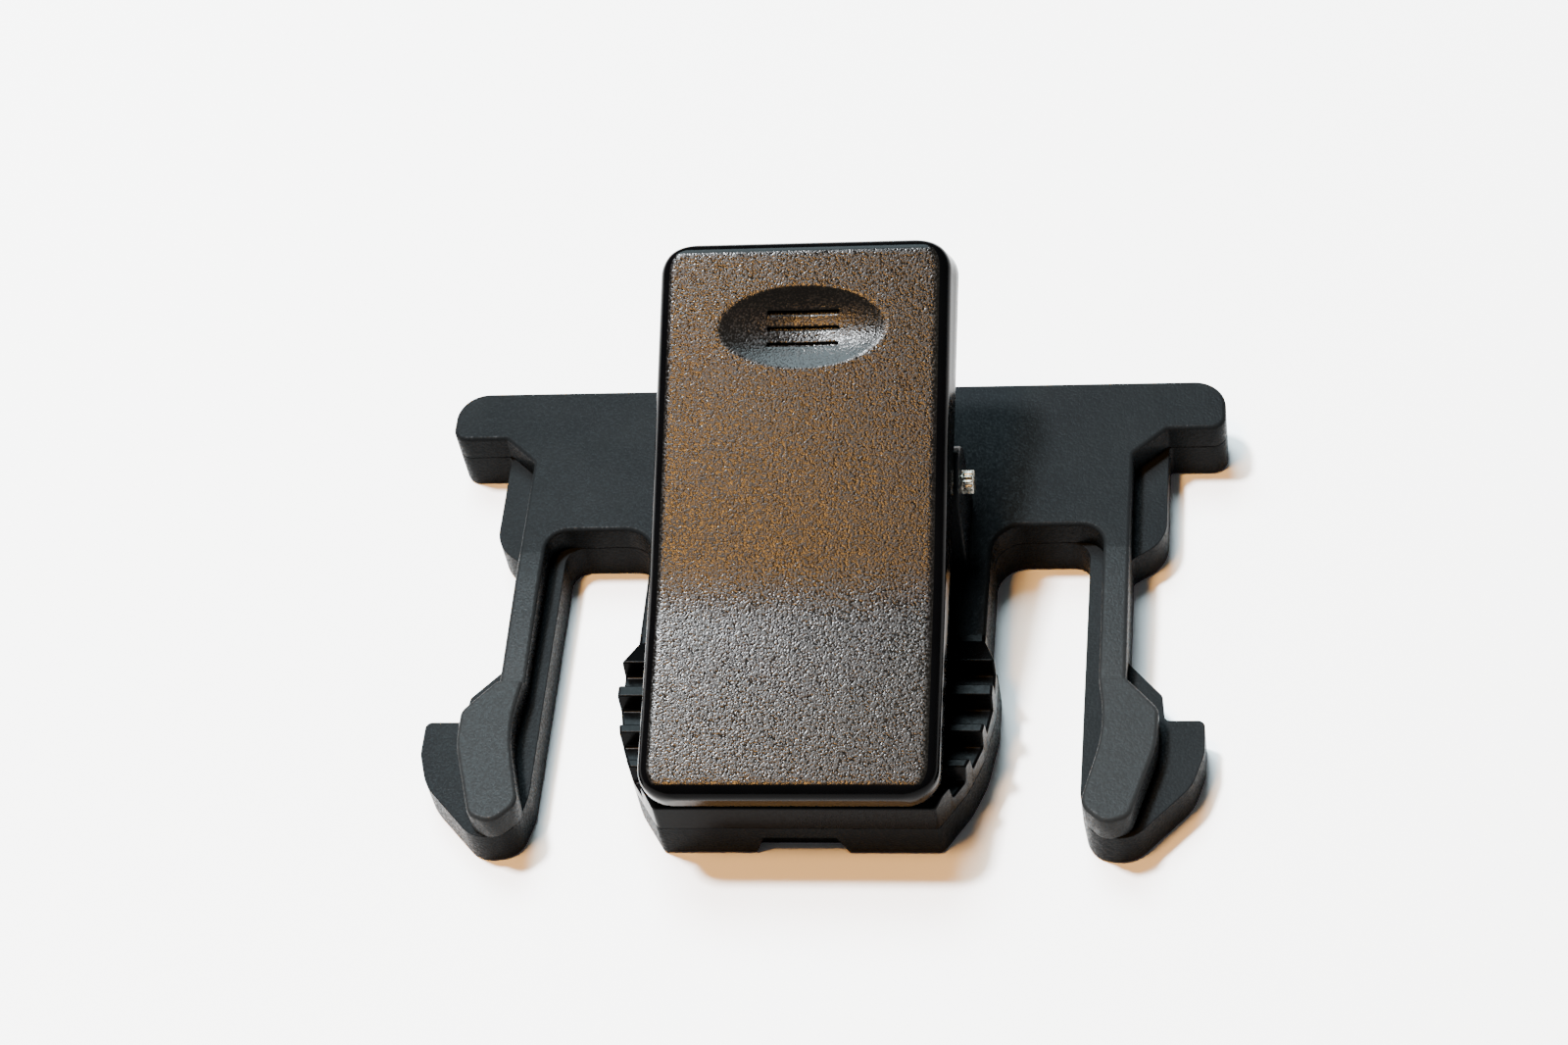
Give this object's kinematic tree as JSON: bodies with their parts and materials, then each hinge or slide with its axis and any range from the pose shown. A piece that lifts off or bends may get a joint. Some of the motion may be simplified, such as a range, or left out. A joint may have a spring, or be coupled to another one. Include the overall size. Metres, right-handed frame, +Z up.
{
  "type": "car phone mount",
  "caption": "Vent clip half of a car phone mount: sprung thumb lever over a ridged jaw, on a base with two barbed plug prongs.",
  "frame": {"origin": "centre of the footprint, on the base's flat underside", "axes": "+Z up from the underside; the plug prongs and the jaw point to -Y, the crossbar is at +Y, and +X is across the crossbar"},
  "size_m": [0.0566, 0.0378, 0.0225],
  "materials": {
    "base_plastic": "fine spark-eroded texture, mould parting line, satin edges",
    "lever_plastic": "coarser spark-eroded top with glossy rounded edges",
    "pin_steel": "bright plated, knurled end",
    "spring_steel": "drawn spring wire"
  },
  "bodies": {
    "base": {"base": "base_plastic", "pivot_pin": "pin_steel", "torsion_spring": "spring_steel"},
    "lever": {"lever": "lever_plastic"},
    "prong_right": {"prong_right": "base_plastic"},
    "prong_left": {"prong_left": "base_plastic"}
  },
  "joints": [
    {"name": "lever_pivot", "type": "hinge", "parent": "base", "child": "lever", "pos_m": [0, 0.00526, 0.0115], "axis": [-1, 0, 0], "range_deg": [0, 25], "stiffness_Nm_per_rad": 0.05, "springref_deg": -28.65, "deforming": ["torsion_spring"]},
    {"name": "prong_right_flex", "type": "hinge", "parent": "base", "child": "prong_right", "pos_m": [0.02034, 0.0015, 0.0027], "axis": [0, 0, -1], "range_deg": [0, 9], "stiffness_Nm_per_rad": 0.3},
    {"name": "prong_left_flex", "type": "hinge", "parent": "base", "child": "prong_left", "pos_m": [-0.02034, 0.0015, 0.0027], "axis": [0, 0, 1], "range_deg": [0, 9], "stiffness_Nm_per_rad": 0.3}
  ]
}
